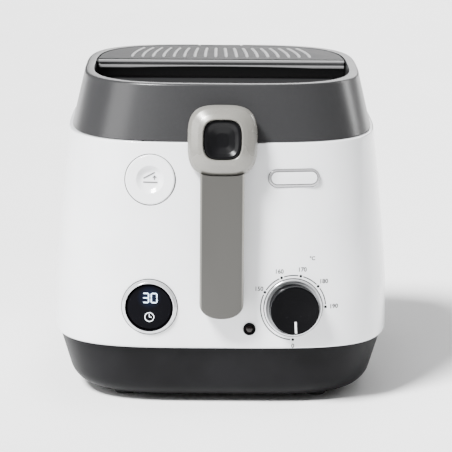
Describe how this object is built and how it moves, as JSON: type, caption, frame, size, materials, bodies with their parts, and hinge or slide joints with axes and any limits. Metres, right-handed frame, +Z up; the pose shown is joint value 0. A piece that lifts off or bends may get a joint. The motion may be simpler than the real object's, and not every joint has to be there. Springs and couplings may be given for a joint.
{
  "type": "deep fryer",
  "caption": "Closed-lid electric deep fryer with a rear-hinged lid, lift-up filter cover and a basket raised by its fold-down front handle.",
  "frame": {"origin": "on the rest plane of the feet, in the middle of the whole fryer's width and of its depth with the handle folded down", "axes": "+Z up, front with the controls and handle towards -Y, +X to the right as seen from the front"},
  "size_m": [0.28, 0.3482, 0.2623],
  "materials": {
    "shell_white": "glossy moulded white",
    "base_grey": "satin moulded",
    "lid_grey": "satin metallic lacquer on plastic",
    "collar_grey": "matt moulded",
    "handle_taupe": "fine satin",
    "grip_taupe": "soft satin",
    "gloss_black": "polished black",
    "bezel_pale": "pale polished",
    "lamp_lens": "dark clear lens",
    "rubber_black": "matt",
    "bowl_coating": "non-stick coating, fine speckle",
    "sheet_steel": "brushed sheet",
    "wire_chrome": "plated wire",
    "spring_steel": "drawn wire",
    "heater_alloy": "cast",
    "element_steel": "sheathed tube",
    "copper": "drawn copper",
    "ceramic_cream": "steatite",
    "board_green": "circuit board",
    "filter_pad": "non-woven felt",
    "charcoal_foam": "charcoal foam"
  },
  "bodies": {
    "root": {"base_tray": "base_grey", "foot_front_left": "rubber_black", "foot_front_right": "rubber_black", "foot_rear_left": "rubber_black", "foot_rear_right": "rubber_black", "base_screws": "spring_steel", "body_shell": "shell_white", "badge_rim": "shell_white", "inner_collar": "collar_grey", "bowl": "bowl_coating", "heater_plate": "heater_alloy", "heating_element": "element_steel", "heater_bracket": "sheet_steel", "heat_shield": "sheet_steel", "thermal_cutout": "heater_alloy", "thermostat_body": "ceramic_cream", "capillary_tube": "copper", "sensor_bulb": "copper", "dial_dish": "bezel_pale", "timer_bezel": "bezel_pale", "timer_housing": "base_grey", "timer_board": "board_green", "timer_spring": "spring_steel", "indicator_lens": "lamp_lens", "indicator_holder": "gloss_black", "lid_button_guide": "collar_grey", "lid_button_spring": "spring_steel", "latch_frame": "collar_grey", "latch_pin": "wire_chrome", "terminal_block": "base_grey", "cord_gland": "base_grey", "hinge_pin": "wire_chrome", "lid_spring": "spring_steel"},
    "lid": {"lid_shell": "lid_grey", "lid_inner_plate": "sheet_steel", "lid_seal": "rubber_black", "lid_striker": "sheet_steel", "lid_screws": "spring_steel", "grease_filter": "filter_pad", "charcoal_filter": "charcoal_foam", "filter_cover_pin": "wire_chrome"},
    "filter_cover": {"filter_cover": "lid_grey"},
    "basket": {"basket_mesh": "wire_chrome", "basket_rim": "wire_chrome", "basket_bracket": "sheet_steel", "handle_pin": "wire_chrome"},
    "handle": {"handle_ring": "handle_taupe", "handle_grip": "grip_taupe", "handle_back": "grip_taupe", "handle_screws": "spring_steel", "release_guide": "collar_grey", "release_spring": "spring_steel"},
    "release_button": {"release_button": "gloss_black"},
    "dial": {"temperature_knob": "gloss_black", "thermostat_shaft": "wire_chrome"},
    "timer_button": {"timer_lens": "gloss_black"},
    "lid_button": {"lid_button": "shell_white"},
    "latch": {"latch_lever": "collar_grey"}
  },
  "joints": [
    {"name": "lid_hinge", "type": "hinge", "parent": "root", "child": "lid", "pos_m": [0, 0.16755, 0.22], "axis": [-1, 0, 0], "range_deg": [0, 78]},
    {"name": "filter_cover_hinge", "type": "hinge", "parent": "lid", "child": "filter_cover", "pos_m": [0, 0.1469, 0.2592], "axis": [-1, 0, 0], "range_deg": [0, 70]},
    {"name": "basket_lift", "type": "slide", "parent": "root", "child": "basket", "axis": [0, 0, 1], "range_m": [0, 0.028]},
    {"name": "handle_pivot", "type": "hinge", "parent": "basket", "child": "handle", "pos_m": [0, -0.14621, 0.24028], "axis": [-1, 0, 0], "range_deg": [0, 90]},
    {"name": "release_push", "type": "slide", "parent": "handle", "child": "release_button", "axis": [0, 0.9781, -0.2079], "range_m": [0, 0.002], "stiffness_N_per_m": 400, "springref_m": -0.002, "deforming": ["release_spring"]},
    {"name": "dial_turn", "type": "hinge", "parent": "root", "child": "dial", "pos_m": [0.058, -0.1547, 0.0835], "axis": [-0.0863, 0.9963, -0.0047], "range_deg": [0, 270]},
    {"name": "timer_push", "type": "slide", "parent": "root", "child": "timer_button", "axis": [0.0863, 0.9963, -0.0047], "range_m": [0, 0.0012], "stiffness_N_per_m": 400, "springref_m": -0.002, "deforming": ["timer_spring"]},
    {"name": "lid_button_push", "type": "slide", "parent": "root", "child": "lid_button", "axis": [0.1387, 0.9836, -0.1153], "range_m": [0, 0.0025], "stiffness_N_per_m": 400, "springref_m": -0.002, "deforming": ["lid_button_spring"]},
    {"name": "latch_release", "type": "hinge", "parent": "root", "child": "latch", "pos_m": [-0.058, -0.12878, 0.203], "axis": [1, 0, 0], "range_deg": [0, 8.2]}
  ],
  "couplings": [
    {"joint": "basket_lift", "follows": "handle_pivot", "m_per_rad": 0.017825},
    {"joint": "latch_release", "follows": "lid_button_push", "rad_per_m": 56}
  ]
}
